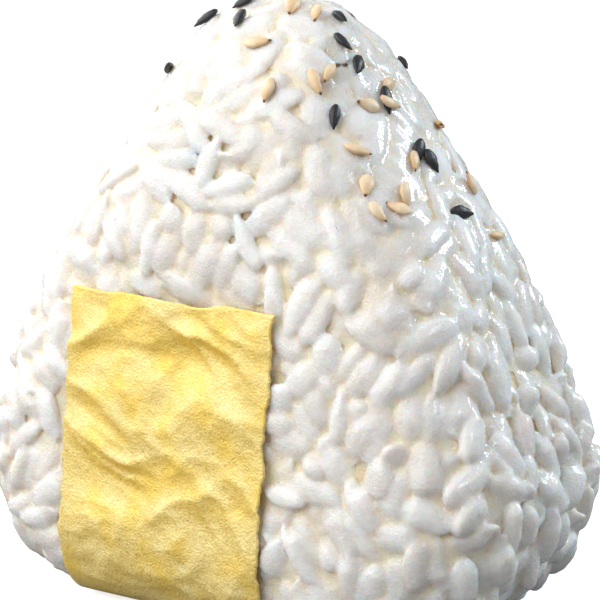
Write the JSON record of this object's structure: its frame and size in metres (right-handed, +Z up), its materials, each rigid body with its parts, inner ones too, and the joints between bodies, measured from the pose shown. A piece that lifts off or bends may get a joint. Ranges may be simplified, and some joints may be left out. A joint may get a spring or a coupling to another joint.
{
  "type": "onigiri rice ball",
  "caption": "Upright triangular rice ball of pressed cooked rice, thicker at its foot, with a strip of gold sheet up its front, under its base and up its back, and sesame at the top.",
  "frame": {"origin": "middle of the flat base that the rice ball stands on", "axes": "+Z up towards the apex; -Y out of the front face; +X to the right seen from the front"},
  "size_m": [0.0812, 0.0478, 0.0802],
  "materials": {
    "rice": "moist, sticky, slightly translucent warm white grains",
    "gold_sheet": "satin, finely granular gold on a thin crinkled edible sheet",
    "black_sesame": "semi-matt seed coat",
    "white_sesame": "semi-matt toasted seed coat, browner at the tip"
  },
  "bodies": {
    "root": {"rice": "rice", "gold_strip": "gold_sheet"}
  },
  "joints": []
}
